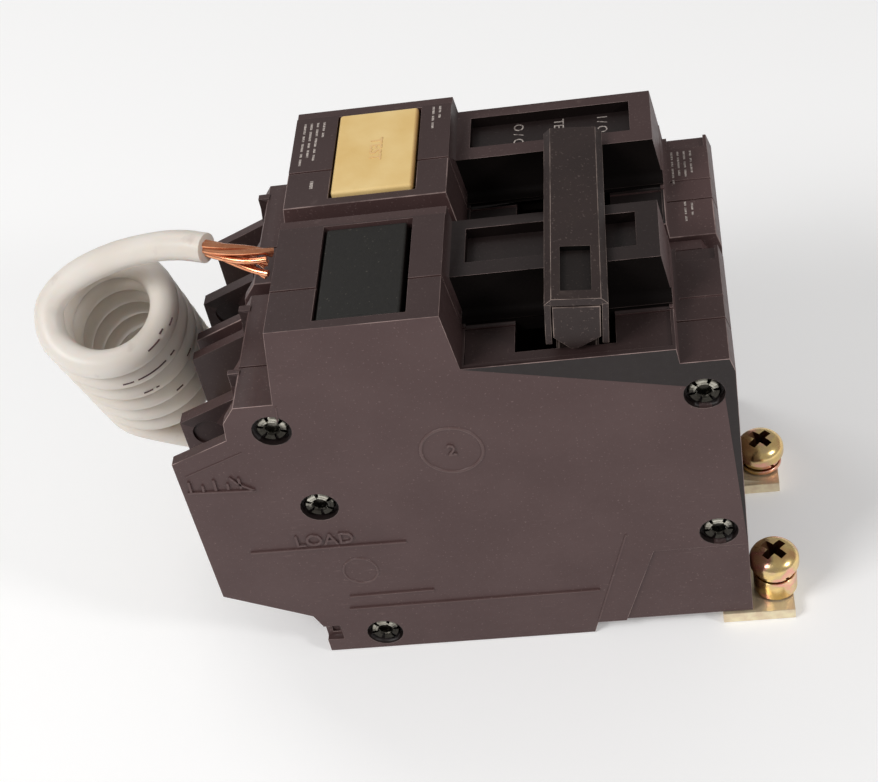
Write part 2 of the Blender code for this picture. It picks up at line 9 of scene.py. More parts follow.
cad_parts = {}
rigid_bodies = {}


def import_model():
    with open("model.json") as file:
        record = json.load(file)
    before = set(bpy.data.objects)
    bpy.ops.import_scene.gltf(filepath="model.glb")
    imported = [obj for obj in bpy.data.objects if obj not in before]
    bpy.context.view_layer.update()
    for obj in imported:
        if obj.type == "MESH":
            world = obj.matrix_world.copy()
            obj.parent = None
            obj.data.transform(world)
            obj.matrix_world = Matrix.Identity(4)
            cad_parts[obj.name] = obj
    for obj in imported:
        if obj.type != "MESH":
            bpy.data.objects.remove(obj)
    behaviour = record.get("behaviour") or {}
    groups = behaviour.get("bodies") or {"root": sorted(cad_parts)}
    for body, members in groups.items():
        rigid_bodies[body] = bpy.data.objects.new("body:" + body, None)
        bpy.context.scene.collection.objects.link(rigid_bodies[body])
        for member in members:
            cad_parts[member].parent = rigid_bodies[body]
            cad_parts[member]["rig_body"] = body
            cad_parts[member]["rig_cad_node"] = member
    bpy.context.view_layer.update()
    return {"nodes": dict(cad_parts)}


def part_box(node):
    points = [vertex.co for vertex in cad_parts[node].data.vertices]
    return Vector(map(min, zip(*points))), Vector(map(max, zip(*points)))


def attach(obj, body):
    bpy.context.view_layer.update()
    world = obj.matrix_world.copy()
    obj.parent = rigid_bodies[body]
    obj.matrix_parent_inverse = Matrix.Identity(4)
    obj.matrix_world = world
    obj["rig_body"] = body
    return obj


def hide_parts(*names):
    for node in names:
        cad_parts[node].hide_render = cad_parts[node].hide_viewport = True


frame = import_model()
bpy.ops.object.select_all(action="DESELECT")

# ---- Case halves ------------------------------------------------------------------------------
# Each pole is a cover and a base compression-moulded in brown-black phenolic and closed face to
# face. The mould leaves sharp arrises, which handling rubs pale. The handle wells, windows and slots
# are painted near black as shade, and the tops darker than the sides as painted shade.
MM = 0.001
NEAR_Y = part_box("near_cover")[0][1] / MM
FAR_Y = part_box("far_cover")[0][1] / MM
POLE_STARTS = {"near": NEAR_Y, "far": FAR_Y}
FRONT_Z = 70.0
RIM_Z = 66.6
WELL_Z = 59.5
LABEL_Z = 57.2
RIM_Y = 11.8
WELL_X = (0.3, 29.4)
WINDOW_X = (1.0, 25.8)
WINDOW_Y = (14.0, 22.2)
WINDOW_DEPTH = 1.8
SLOT_X = (7.4, 21.8)
SLOT_Y = (2.7, 9.5)
POCKET_X = -33.0
ARRIS = 0.28


class Socket:
    """One output of a shader node; arithmetic on it adds Math nodes."""

    def __init__(self, finish, output):
        self.finish = finish
        self.output = output

    def math(self, operation, *others):
        inputs = dict(enumerate((self,) + others))
        return self.finish.node("Math", {"operation": operation}, inputs)

    def swapped(self, operation, other):
        return self.finish.node("Math", {"operation": operation}, {0: other, 1: self})

    def __add__(self, other):
        return self.math("ADD", other)

    def __sub__(self, other):
        return self.math("SUBTRACT", other)

    def __rsub__(self, other):
        return self.swapped("SUBTRACT", other)

    def __mul__(self, other):
        return self.math("MULTIPLY", other)

    def __gt__(self, other):
        return self.math("GREATER_THAN", other)

    def __lt__(self, other):
        return self.math("LESS_THAN", other)

    __radd__ = __add__
    __rmul__ = __mul__

    def between(self, low, high):
        """Ramp from 0 at low to 1 at high."""
        inputs = {"Value": self, "From Min": low, "From Max": high}
        return self.finish.node("MapRange", {"clamp": True}, inputs)


class Finish:
    """A procedural surface, built node by node on a Principled shader."""

    def __init__(self, name, roughness=0.5, metallic=0.0, specular=0.5):
        self.material = bpy.data.materials.new(name)
        self.material.use_nodes = True
        self.tree = self.material.node_tree
        self.shader = self.tree.nodes["Principled BSDF"]
        self.surface(Roughness=roughness, Metallic=metallic)
        self.shader.inputs["Specular IOR Level"].default_value = specular
        self.place = self.node("TexCoord", output="Object")

    def fill(self, target, inputs):
        for key, value in inputs.items():
            socket = target.inputs[key]
            if isinstance(value, Socket):
                self.tree.links.new(value.output, socket)
            elif isinstance(value, tuple) and len(value) == 3 and len(socket.default_value) == 4:
                socket.default_value = (*value, 1.0)
            else:
                socket.default_value = value

    def node(self, kind, settings=None, inputs=None, output=0):
        made = self.tree.nodes.new("ShaderNode" + kind)
        for key, value in (settings or {}).items():
            if key == "stops":
                ramp = made.color_ramp
                while len(ramp.elements) < len(value):
                    ramp.elements.new(0.5)
                for element, (position, color) in zip(ramp.elements, value):
                    element.position = position
                    element.color = (*color, 1.0)
            else:
                setattr(made, key, value)
        self.fill(made, inputs or {})
        return Socket(self, made.outputs[output])

    def noise(self, scale, detail=2.0, stretch=None):
        place = self.place
        if stretch:
            place = self.node("Mapping", {}, {"Vector": place, "Scale": stretch})
        return self.node("TexNoise", {}, {"Vector": place, "Scale": scale, "Detail": detail})

    def axis(self, name):
        return self.node("SeparateXYZ", {}, {"Vector": self.place}, output=name)

    def mix(self, factor, first, second):
        return self.node("Mix", {"data_type": "RGBA"}, {0: factor, 6: first, 7: second}, output=2)

    def surface(self, **inputs):
        self.fill(self.shader, {key.replace("_", " "): value for key, value in inputs.items()})

    def bump(self, height, distance, strength=1.0):
        inputs = {"Height": height, "Distance": distance, "Strength": strength}
        self.surface(Normal=self.node("Bump", {}, inputs))


def phenolic(name, body, patch, worn, roughness=0.5, specular=0.35):
    """Wood-flour filled phenolic: mottled body, dusty specks, arrises rubbed pale."""
    finish = Finish(name, specular=specular)
    cloud = finish.noise(90, 3).between(0.38, 0.66)
    fine = finish.noise(900, 4)
    base = finish.mix(cloud * 0.8 + fine * 0.2, body, patch)
    flour = finish.noise(2600, 1).between(0.66, 0.74)
    base = finish.mix(flour * 0.20, base, worn)
    scuff = finish.noise(420, 5, (1.0, 1.0, 7.0)).between(0.64, 0.74)
    scuff = scuff * finish.noise(60, 2).between(0.52, 0.64)
    base = finish.mix(scuff * 0.14, base, worn)
    # Painted shade: faces marked in an attribute are darkened towards near black, and rubbed less pale
    # there.
    shade = finish.node("Attribute", {"attribute_name": "shade"}, output="Fac")
    base = finish.mix(shade * 0.96, base, (0.0022, 0.0021, 0.0018))
    wear = finish.node("Attribute", {"attribute_name": "wear"}, output="Fac")
    rubbed = wear * (finish.noise(260, 4).between(0.36, 0.60) * 0.8 + 0.18) * (1 - shade * 0.75)
    base = finish.mix(rubbed, base, worn)
    finish.surface(Base_Color=base, Roughness=fine * 0.22 + (roughness - 0.11))
    finish.bump(fine + flour * 0.4, 0.00005, 0.45)
    return finish.material


PHENOLIC_BODY = (0.072, 0.0385, 0.037)
PHENOLIC_PATCH = (0.085, 0.048, 0.046)
PHENOLIC_WORN = (0.36, 0.26, 0.24)
case_phenolic = phenolic("case_phenolic", PHENOLIC_BODY, PHENOLIC_PATCH, PHENOLIC_WORN)
# A copy of the phenolic with little specular, for faces painted near black as shade.
shaded_phenolic = phenolic("shaded_phenolic", PHENOLIC_BODY, PHENOLIC_PATCH, PHENOLIC_WORN, 0.62, 0.06)


def pick(piece):
    """Select one piece alone and make it the active one."""
    bpy.ops.object.select_all(action="DESELECT")
    piece.select_set(True)
    bpy.context.view_layer.objects.active = piece


def edit(piece):
    """Open one piece in edit mode, with everything else deselected."""
    pick(piece)
    bpy.ops.object.mode_set(mode="EDIT")


def done():
    """Close edit mode."""
    bpy.ops.object.mode_set(mode="OBJECT")
    bpy.ops.object.select_all(action="DESELECT")


def choose(piece, kind, wanted):
    """In edit mode, select only the edges or faces that pass a test."""
    bpy.ops.mesh.select_mode(type=kind)
    bpy.ops.mesh.select_all(action="DESELECT")
    mesh = bmesh.from_edit_mesh(piece.data)
    for part in mesh.edges if kind == "EDGE" else mesh.faces:
        part.select = wanted(part)
    bmesh.update_edit_mesh(piece.data)


def reshape(piece, wanted, scale=(1, 1, 1), shift=(0, 0, 0)):
    """Scale and shift the corners of a piece that pass a test."""
    edit(piece)
    mesh = bmesh.from_edit_mesh(piece.data)
    for corner in mesh.verts:
        if wanted(corner.co / MM):
            corner.co = corner.co * Vector(scale) + Vector(shift) * MM
    bmesh.update_edit_mesh(piece.data)
    done()


def settle(piece, name=None):
    """Put a piece's place into its mesh and leave its object at the origin."""
    if name:
        piece.name = name
    pick(piece)
    bpy.ops.object.transform_apply(location=True, rotation=True, scale=True)
    piece.select_set(False)
    return piece


def smooth(piece, angle):
    """Shade a piece smooth, with its corners sharper than an angle left hard."""
    pick(piece)
    bpy.ops.object.shade_smooth_by_angle(angle=radians(angle))
    piece.select_set(False)


def paint(piece, *materials):
    """Give a piece these materials in place of any it has, with all its faces on the first."""
    piece.data.materials.clear()
    for material in materials:
        piece.data.materials.append(material)


def apply(modifier):
    """Apply a modifier to the piece that it is on."""
    bpy.context.view_layer.objects.active = modifier.id_data
    bpy.ops.object.modifier_apply(modifier=modifier.name)


def welded_copy(node, name):
    """Copy a moulded part, weld its triangles and clear the flat diagonals."""
    source = frame["nodes"][node]
    made = source.copy()
    made.data = source.data.copy()
    made.name = name
    made.parent = None
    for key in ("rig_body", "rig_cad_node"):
        if key in made:
            del made[key]
    paint(made)
    bpy.context.scene.collection.objects.link(made)
    edit(made)
    bpy.ops.mesh.select_all(action="SELECT")
    bpy.ops.mesh.remove_doubles(threshold=0.00001)
    bpy.ops.mesh.dissolve_limited(angle_limit=radians(0.8))
    done()
    return made


def block(low, high, name="tool"):
    """Plain block between two corners, in millimetres."""
    low, high = Vector(low) * MM, Vector(high) * MM
    bpy.ops.mesh.primitive_cube_add(size=1, location=(low + high) / 2, scale=high - low)
    return settle(bpy.context.object, name)


def bar(centre, radius, depth, axis="Z", sides=32, name="tool"):
    """Plain round bar centred on a point, in millimetres."""
    turn = {"X": (0, pi / 2, 0), "Y": (pi / 2, 0, 0), "Z": (0, 0, 0)}[axis]
    bpy.ops.mesh.primitive_cylinder_add(vertices=sides, radius=radius * MM, depth=depth * MM,
                                        location=Vector(centre) * MM, rotation=turn)
    return settle(bpy.context.object, name)


def combine(piece, tool, operation="DIFFERENCE", material_mode="INDEX"):
    """Cut one piece with another, or weld it on, and throw the tool away."""
    step = piece.modifiers.new("combine", "BOOLEAN")
    step.material_mode = material_mode
    step.operation = operation
    step.solver = "EXACT"
    step.object = tool
    apply(step)
    bpy.data.objects.remove(tool, do_unlink=True)


def join(pieces, name):
    """Make one piece of several."""
    bpy.ops.object.select_all(action="DESELECT")
    for piece in pieces:
        piece.select_set(True)
    bpy.context.view_layer.objects.active = pieces[0]
    if len(pieces) > 1:
        bpy.ops.object.join()
    pieces[0].name = name
    bpy.ops.object.select_all(action="DESELECT")
    return pieces[0]


def soften(piece, width, segments=2, angle=24):
    """Round the outward edges and note which faces are the roundings, as worn."""
    paint(piece, None, None)
    for face in piece.data.polygons:
        face.material_index = 0
    edit(piece)
    choose(piece, "EDGE", lambda edge: edge.is_manifold and edge.calc_face_angle_signed() > radians(angle))
    bpy.ops.mesh.bevel(offset=width * MM, segments=segments, profile=0.5, clamp_overlap=True, material=1)
    done()
    wear = piece.data.attributes.new("wear", "FLOAT", "CORNER")
    for face in piece.data.polygons:
        for corner in face.loop_indices:
            wear.data[corner].value = float(face.material_index)
        face.material_index = 0
    paint(piece)
    smooth(piece, 50)
    flatten = piece.modifiers.new("flatten", "WEIGHTED_NORMAL")
    flatten.keep_sharp = True
    apply(flatten)


rivet_axes = []
for number in range(1, 6):
    low, high = (Vector(corner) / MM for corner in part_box(f"rivet_{number}"))
    rivet_axes.append(((low.x + high.x) / 2, (low.z + high.z) / 2))
# How much painted shade darkens the pads, the rim, the label step and the well floor of each pole.
PAINTED_TOP_SHADE = {"near": (0.46, 0.82, 0.42, 0.60), "far": (0.42, 0.30, 0.0, 0.90)}


def within(value, span):
    """Whether a value lies between two others."""
    return span[0] < value < span[1]


def paint_half_and_shade(piece, pole):
    """Paint a case half and note how much painted shade darkens each face: well and window walls most."""
    paint(piece, case_phenolic, shaded_phenolic)
    shade = piece.data.attributes.new("shade", "FLOAT", "CORNER")
    pad_shade, rim_shade, label_shade, well_shade = PAINTED_TOP_SHADE[pole]
    for face in piece.data.polygons:
        x, y, z = face.center / MM
        local = y - POLE_STARTS[pole]
        upward = face.normal.z > 0.9
        # Painted shade: tops darker than the sides, the button block's +X wall and the rivet recesses
        # darker, the Y-facing walls at the load end beyond x = -33 mm darker, and wells, windows and slots
        # near black.
        depth = 0.23 if upward else 0.0
        if upward and z > FRONT_Z - 0.1:
            depth = pad_shade
        elif upward and abs(z - RIM_Z) < 0.1:
            depth = rim_shade
        elif upward and x > 29.5:
            depth = label_shade
        elif face.normal.x > 0.8 and x < 0.5 and z > WELL_Z:
            depth = 0.50
        elif local < 1.4 and any((x - across) ** 2 + (z - up) ** 2 < 9.2 for across, up in rivet_axes):
            depth = 0.88
        below_rim = z < RIM_Z - 0.3
        in_well = (below_rim and z > WELL_Z - 0.2
                   and within(x, WELL_X) and within(local, (0.5, RIM_Y + 0.05)))
        in_window = (below_rim and z > RIM_Z - WINDOW_DEPTH - 0.4
                     and within(x, WINDOW_X) and within(local, WINDOW_Y))
        if in_well:
            depth = well_shade if face.normal.z > 0.7 and local < 9.2 else 1.0
        elif in_window:
            depth = 0.86 if face.normal.z > 0.7 else 0.95
        elif within(z, (50, WELL_Z - 0.6)) and within(x, SLOT_X) and within(local, SLOT_Y):
            depth = 1.0
        elif x < POCKET_X and within(local, (1.6, 22.6)) and 24 < z and abs(face.normal.y) > 0.9:
            depth = 0.45
        # Faces painted near black as shade take the shaded copy of the phenolic, with little specular.
        face.material_index = 1 if depth > 0.9 else 0
        for corner in face.loop_indices:
            shade.data[corner].value = depth


for pole, pole_y in POLE_STARTS.items():
    cover = welded_copy(f"{pole}_cover", f"{pole}_cover_moulding")
    if pole == "near":
        # Deeper slit in the notch at the foot of the open side.
        combine(cover, block((-29.6, pole_y - 1, 3.6), (-28.4, pole_y + 1.4, 5.4)))
    combine(cover, block((-34.7, pole_y + 7.0, 54.0), (-32.9, pole_y + 7.9, 56.6)), "UNION")
    soften(cover, ARRIS)
    paint_half_and_shade(cover, pole)
    base = welded_copy(f"{pole}_base", f"{pole}_base_moulding")
    # Step along the block's far edge, and the round dimple in the barrier beside the cover.
    combine(base, block((-25.7, pole_y + 22.0, FRONT_Z - 0.45), (-1.0, pole_y + 24.4, FRONT_Z + 0.5)))
    combine(base, bar((-40.9, pole_y + 8.55, 43.6), 2.5, 0.7, "Y"))
    # Sloped ledge at the foot of the well's far wall.
    ledge = block((0.05, pole_y + 9.3, WELL_Z - 0.1), (29.75, pole_y + RIM_Y + 0.05, WELL_Z + 1.2))
    reshape(ledge, lambda at: at.z > WELL_Z + 1 and at.y < pole_y + 10, shift=(0, 0, -0.6))
    combine(base, ledge, "UNION")
    # Corner step and dividing groove in the line end's label step.
    combine(base, block((30.6, pole_y + 21.2, LABEL_Z - 0.5), (36.2, pole_y + 24.4, LABEL_Z + 0.8)))
    combine(base, block((30.6, pole_y + 12.9, LABEL_Z - 0.35), (38.0, pole_y + 13.3, LABEL_Z + 0.8)))
    combine(base, block((-34.7, pole_y + 20.6, 54.0), (-32.9, pole_y + 21.8, 56.6)), "UNION")
    soften(base, ARRIS)
    paint_half_and_shade(base, pole)
    for half, node in ((cover, f"{pole}_cover"), (base, f"{pole}_base")):
        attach(half, "case")
        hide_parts(node)
paint(frame["nodes"]["center_spacer"], case_phenolic)

# ---- Moulded marks on the near side -----------------------------------------------------------
# Raised marks from the mould: a cavity ring, a strip-length gauge with its arrow, the load legend
# with its rule, and thin witness lines. They stand about a quarter of a millimetre proud.
MARK_RISE = 0.28
side_marks = []


def side_rule(start, end, width=0.35, rise=MARK_RISE):
    """Thin raised line between two (X, Z) points on the near side."""
    a, b = Vector((start[0], 0, start[1])), Vector((end[0], 0, end[1]))
    line = block((0, -rise, -width / 2), ((b - a).length, 0.2, width / 2), "rule")
    angle = -Vector((b.x - a.x, b.z - a.z)).angle_signed(Vector((1, 0)))
    line.rotation_euler = (0, angle, 0)
    line.location = Vector((a.x, NEAR_Y, a.z)) * MM
    side_marks.append(settle(line))


def side_ring(x, z, radius, wire=0.22, squash=1.0):
    """Raised ring on the near side."""
    bpy.ops.mesh.primitive_torus_add(major_radius=radius * MM, minor_radius=wire * MM, major_segments=48,
                                     minor_segments=8, location=Vector((x, NEAR_Y, z)) * MM,
                                     rotation=(pi / 2, 0, 0))
    ring = bpy.context.object
    ring.scale = (squash, 1, 0.7)
    side_marks.append(settle(ring))


def lettering(words, size, rise, place, turn):
    """Solid lettering in the built-in typeface, laid at a place with a turn."""
    bpy.ops.object.text_add()
    text = bpy.context.object
    text.data.body = words
    text.data.size = size * MM
    text.data.extrude = rise * MM
    text.data.resolution_u = 3
    text.data.align_x = "CENTER"
    text.data.align_y = "CENTER"
    bpy.ops.object.convert(target="MESH")
    text = bpy.context.object
    text.location = Vector(place) * MM
    text.rotation_euler = turn
    settle(text)
    edit(text)
    bpy.ops.mesh.select_all(action="SELECT")
    bpy.ops.mesh.remove_doubles(threshold=0.000002)
    bpy.ops.mesh.normals_make_consistent(inside=False)
    done()
    return text


side_ring(-3.6, 44.2, 4.5, 0.26)
side_ring(-21.9, 19.3, 2.9, 0.2, 0.92)
side_rule((-44.0, 40.0), (-33.8, 39.4))
side_rule((-33.9, 39.5), (-36.2, 41.3))
side_rule((-36.2, 41.3), (-37.0, 42.6))
for step in range(5):
    x = -43.4 + 1.9 * step
    side_rule((x, 40.2), (x + 0.1, 42.4 if step % 2 == 0 else 41.4))
side_rule((-37.9, 25.5), (-13.7, 25.3))
side_rule((-24.8, 13.4), (-11.4, 13.6), 0.25)
side_rule((-25.4, 10.4), (14.2, 10.5), 0.25)
side_rule((19.4, 22.8), (13.2, 2.6), 0.25, 0.1)
side_rule((-43.4, 43.4), (-34.0, 47.4), 0.2, 0.08)
side_rule((-26.9, 56.0), (-27.3, 53.0), 0.2, 0.08)
side_marks.append(lettering("LOAD", 3.4, MARK_RISE, (-26.0, NEAR_Y, 27.2), (pi / 2, 0, 0)))
side_marks.append(lettering("2", 3.0, MARK_RISE, (-3.6, NEAR_Y, 44.2), (pi / 2, 0, 0)))
marks = join(side_marks, "side_marks")
RAISED_BODY = (0.085, 0.047, 0.045)
RAISED_PATCH = (0.110, 0.066, 0.062)
paint(marks, phenolic("raised_phenolic", RAISED_BODY, RAISED_PATCH, PHENOLIC_WORN, 0.42))
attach(marks, "case")

# ---- Printed legends --------------------------------------------------------------------------
# Off-white pad printing: the handle positions in the label windows, and rows of small print on the
# far pole's pads and on the line-end label steps, here as plain bars with no wording.
print_marks = []
PRINT_RISE = 0.02


for legend, x, across in (("O / OFF", 8.4, 17.9), ("TEST", 14.6, 19.4), ("I / ON", 21.2, 18.4)):
    place = (x, FAR_Y + across, RIM_Z - WINDOW_DEPTH)
    print_marks.append(lettering(legend, 2.2, PRINT_RISE, place, (0, 0, -pi / 2)))


def small_print(x, across, z, lengths, width=0.34):
    """A row of short printed bars running across the far pole."""
    y = FAR_Y + across
    for length in lengths:
        low = (x - width / 2, y - length, z - PRINT_RISE)
        print_marks.append(block(low, (x + width / 2, y, z + PRINT_RISE), "bar"))
        y -= length + 0.5


small_print(-23.9, 20.6, FRONT_Z, (2.6, 1.4, 2.0, 0.9, 1.6))
small_print(-22.9, 20.6, FRONT_Z, (1.6, 2.4, 1.2, 1.9))
small_print(-21.9, 20.6, FRONT_Z, (1.1, 1.8, 2.2, 1.0, 1.4))
small_print(-20.9, 20.6, FRONT_Z, (2.2, 1.1))
small_print(-21.6, 6.0, FRONT_Z, (1.8,), 0.5)
small_print(-3.9, 21.4, FRONT_Z, (1.9, 1.2, 1.4))
small_print(-2.9, 21.4, FRONT_Z, (1.6, 0.9))
LABEL_ROWS = ((1.9, 1.2, 2.3, 1.0), (1.0, 2.6, 1.4), (2.1, 1.5, 1.8), (1.4, 0.9, 2.2))
for row, lengths in enumerate(LABEL_ROWS):
    small_print(31.2 + 0.95 * row, 20.4, LABEL_Z, lengths, 0.3)
small_print(32.6, 8.0, LABEL_Z, (0.9, 1.5, 1.1), 0.3)
small_print(33.6, 7.6, LABEL_Z, (1.6, 0.8), 0.3)
legends = join(print_marks, "printed_legends")
ink = Finish("legend_ink", 0.6)
rubbed_ink = ink.noise(3200, 3).between(0.35, 0.6)
ink.surface(Base_Color=ink.mix(rubbed_ink, (0.13, 0.10, 0.095), (0.50, 0.44, 0.40)))
paint(legends, ink.material)
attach(legends, "case")

# ---- Rivets -----------------------------------------------------------------------------------
# Plated tubular rivets through both poles. Each end is split and rolled over by a punch, which
# leaves a ring of curled petals round the bore at the bottom of its recess.
PETALS = 6
PETAL_STEPS = 4
RIVET_SEAT = 24.0
plated = Finish("plated_steel", 0.28, 1.0)
streak = plated.noise(700, 4)
# Painted shade: faces marked in an attribute darken towards black, the bore and the lower part of each
# rolled end.
bore_shade_mask = plated.node("Attribute", {"attribute_name": "grease"}, output="Fac")
plate_tone = plated.mix(streak.between(0.3, 0.7), (0.62, 0.60, 0.52), (0.30, 0.28, 0.23))
plated.surface(Base_Color=plated.mix(bore_shade_mask * 0.93, plate_tone, (0.012, 0.010, 0.008)),
               Roughness=streak * 0.3 + 0.14)
plated.bump(streak, 0.00004, 0.5)


def on_petal(face):
    """Whether a face of the rim is part of a petal and not the split between two."""
    middle = face.calc_center_median()
    angle = Vector((middle.x, middle.y)).angle_signed(Vector((1, 0)), 0.0) % (2 * pi)
    slice_number = int(angle / (2 * pi) * PETALS * PETAL_STEPS)
    return face.normal.z > 0.9 and middle.z > 0.4 * MM and slice_number % PETAL_STEPS != 0


def rivet_end(x, z, outward):
    """Rolled end of a tubular rivet, facing along +Y or -Y."""
    bpy.ops.mesh.primitive_cylinder_add(vertices=PETALS * PETAL_STEPS, radius=1.32 * MM,
                                        depth=1.0 * MM, location=(0, 0, 0))
    end = bpy.context.object
    edit(end)
    choose(end, "FACE", lambda face: face.normal.z > 0.9)
    bpy.ops.mesh.inset(thickness=0.30 * MM)
    bpy.ops.mesh.extrude_region_move(TRANSFORM_OT_translate={"value": (0, 0, -0.8 * MM)})
    choose(end, "FACE", on_petal)
    for grow, rise in ((1.26, 0.30), (1.25, 0.05), (1.17, -0.35)):
        bpy.ops.mesh.extrude_region_move(TRANSFORM_OT_translate={"value": (0, 0, rise * MM)})
        bpy.ops.transform.resize(value=(grow, grow, 1.0), center_override=(0, 0, 0))
    bpy.ops.mesh.select_all(action="SELECT")
    bpy.ops.mesh.normals_make_consistent(inside=False)
    done()
    end.rotation_euler = (-pi / 2 * outward, 0.35 * x, 0)
    end.location = Vector((x, outward * (RIVET_SEAT + 0.1), z)) * MM
    return settle(end, "rivet_end")


for number, (x, z) in enumerate(rivet_axes, 1):
    parts = [bar((x, 0, z), 1.28, 2 * RIVET_SEAT, "Y", 24), rivet_end(x, z, -1), rivet_end(x, z, 1)]
    rivet = join(parts, f"rivet_{number}_rolled")
    paint(rivet, plated.material)
    round_edges = rivet.modifiers.new("round", "BEVEL")
    round_edges.width = 0.06 * MM
    round_edges.segments = 2
    apply(round_edges)
    smooth(rivet, 40)
    # Painted shade: black across and below the bore, fading out towards the upper petals.
    grease = rivet.data.attributes.new("grease", "FLOAT", "CORNER")
    for face in rivet.data.polygons:
        offset = (face.center.z / MM - z) + 0.5 * sin(3.0 * face.center.x / MM)
        for corner in face.loop_indices:
            grease.data[corner].value = min(1.0, max(0.0, 1.15 - 0.9 * offset))
    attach(rivet, "case")
    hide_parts(f"rivet_{number}")

# ---- Handles and their tie --------------------------------------------------------------------
# Two black moulded toggle handles. The tie is a moulded channel pushed down over both of them, with
# chamfered long edges, a blind pocket near its end and two prongs that grip each handle.
HANDLE_TILT = radians(5.0)
PIVOT = Vector((14.6, 0, 40.0))
tilt = Matrix.Translation(PIVOT * MM) @ Matrix.Rotation(HANDLE_TILT, 4, "Y")
TIE_TOP = 29.3
TIE_HALF = 4.3
TIE_START = NEAR_Y + 1.7
PRONG_INSIDE = 3.45
POCKET_HALF = 2.1
POCKET_START = NEAR_Y + 3.5
POCKET_END = NEAR_Y + 12.7
POCKET_DEPTH = 0.85
HANDLE_BODY = (0.027, 0.0175, 0.0165)
HANDLE_PATCH = (0.036, 0.0235, 0.0215)
HANDLE_WORN = (0.30, 0.23, 0.20)
black_moulding = phenolic("handle_black", HANDLE_BODY, HANDLE_PATCH, HANDLE_WORN, 0.46, 0.25)


def tilted(piece):
    """Turn a piece drawn upright on the pivot to the handles' resting tilt."""
    piece.data.transform(tilt)
    return piece


def long_top_edge(edge):
    """Whether an edge runs the length of the tie at one side of its top."""
    a, b = (corner.co / MM for corner in edge.verts)
    return abs(a.y - b.y) > 30 and min(a.z, b.z) > TIE_TOP - 0.01 and abs(a.x) > TIE_HALF - 0.1


tie = block((-TIE_HALF, TIE_START, TIE_TOP - 1.2), (TIE_HALF, NEAR_Y + 40.0, TIE_TOP), "tie_channel")
for pole_y in POLE_STARTS.values():
    for low_x, high_x in ((-TIE_HALF, -PRONG_INSIDE), (PRONG_INSIDE, TIE_HALF)):
        leg = block((low_x, pole_y + 1.7, TIE_TOP - 8.1), (high_x, pole_y + 9.0, TIE_TOP - 1.0))
        combine(tie, leg, "UNION")
pocket = block((-POCKET_HALF, POCKET_START, TIE_TOP - POCKET_DEPTH), (POCKET_HALF, POCKET_END, TIE_TOP + 1))
combine(tie, pocket)
edit(tie)
choose(tie, "EDGE", long_top_edge)
bpy.ops.mesh.bevel(offset=0.95 * MM, segments=1, profile=0.5)
done()
soften(tie, 0.24)
# Painted shade makes the pocket black inside, its floor a little less; it is little worn round its mouth.
painted_pocket_shade = tie.data.attributes.new("shade", "FLOAT", "CORNER")
for face in tie.data.polygons:
    x, y, z = face.center / MM
    inside = (abs(x) < POCKET_HALF + 0.5 and within(y, (POCKET_START - 0.4, POCKET_END + 0.4))
              and z > TIE_TOP - 1.0)
    depth = 0.72 if face.normal.z > 0.9 else 1.0
    for corner in face.loop_indices:
        if inside and z > TIE_TOP - 0.22:
            tie.data.attributes["wear"].data[corner].value *= 0.25
        painted_pocket_shade.data[corner].value = depth if inside and z < TIE_TOP - 0.15 else 0.0
tilted(tie)
paint(tie, black_moulding)
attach(tie, "handle")
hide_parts("handle_tie")
for pole, pole_y in POLE_STARTS.items():
    toggle = welded_copy(f"{pole}_handle", f"{pole}_toggle")
    toggle.data.transform(tilt.inverted())
    # Nose between the prongs, drawn down to a blunt chin.
    nose = block((-3.25, pole_y + 1.75, 22.3), (3.25, pole_y + 4.0, 27.8))
    chin = Vector((-0.5, pole_y + 2.0, 20.2)) * MM
    edit(nose)
    choose(nose, "FACE", lambda face: face.normal.z < -0.9)
    bpy.ops.mesh.extrude_region_move(TRANSFORM_OT_translate={"value": (0, 0, -2.1 * MM)})
    bpy.ops.transform.resize(value=(0.16, 0.9, 1.0), center_override=chin)
    done()
    combine(toggle, nose, "UNION")
    soften(toggle, 0.2)
    tilted(toggle)
    paint(toggle, black_moulding)
    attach(toggle, "handle")
    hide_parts(f"{pole}_handle")

# ---- Blanking plug and test button ------------------------------------------------------------
# The near pole's opening is closed by a dull greenish-black plug, slightly sunk. The far pole's
# holds the yellow test button, sprung and a little proud, with its one raised word.
plug_low, plug_high = (Vector(corner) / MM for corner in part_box("blank_plug"))
PLUG_SUNK = 0.25
plug = block(plug_low, (plug_high.x - 0.45, plug_high.y, plug_high.z - PLUG_SUNK), "plug_cap")
soften(plug, 0.35, 3)
plug_finish = Finish("plug_black", 0.5, specular=0.3)
plug_grain = plug_finish.noise(1800, 3)
plug_dust = plug_finish.noise(2400, 1).between(0.72, 0.78)
plug_tone = plug_finish.mix(plug_grain, (0.008, 0.0075, 0.0065), (0.016, 0.0145, 0.0125))
plug_finish.surface(Base_Color=plug_finish.mix(plug_dust * 0.2, plug_tone, (0.24, 0.22, 0.18)),
                    Roughness=plug_grain * 0.25 + 0.35)
plug_finish.bump(plug_grain, 0.00006, 0.4)
paint(plug, plug_finish.material)
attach(plug, "case")
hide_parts("blank_plug")

button_low, button_high = (Vector(corner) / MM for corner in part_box("test_button"))
SPRING_ROOM = 1.3
button = block((button_low.x, button_low.y, button_low.z + SPRING_ROOM), button_high, "test_key")
soften(button, 0.45, 3)
yellow = Finish("yellow_moulding", 0.42)
yellow_cloud = yellow.noise(140, 3).between(0.3, 0.7)
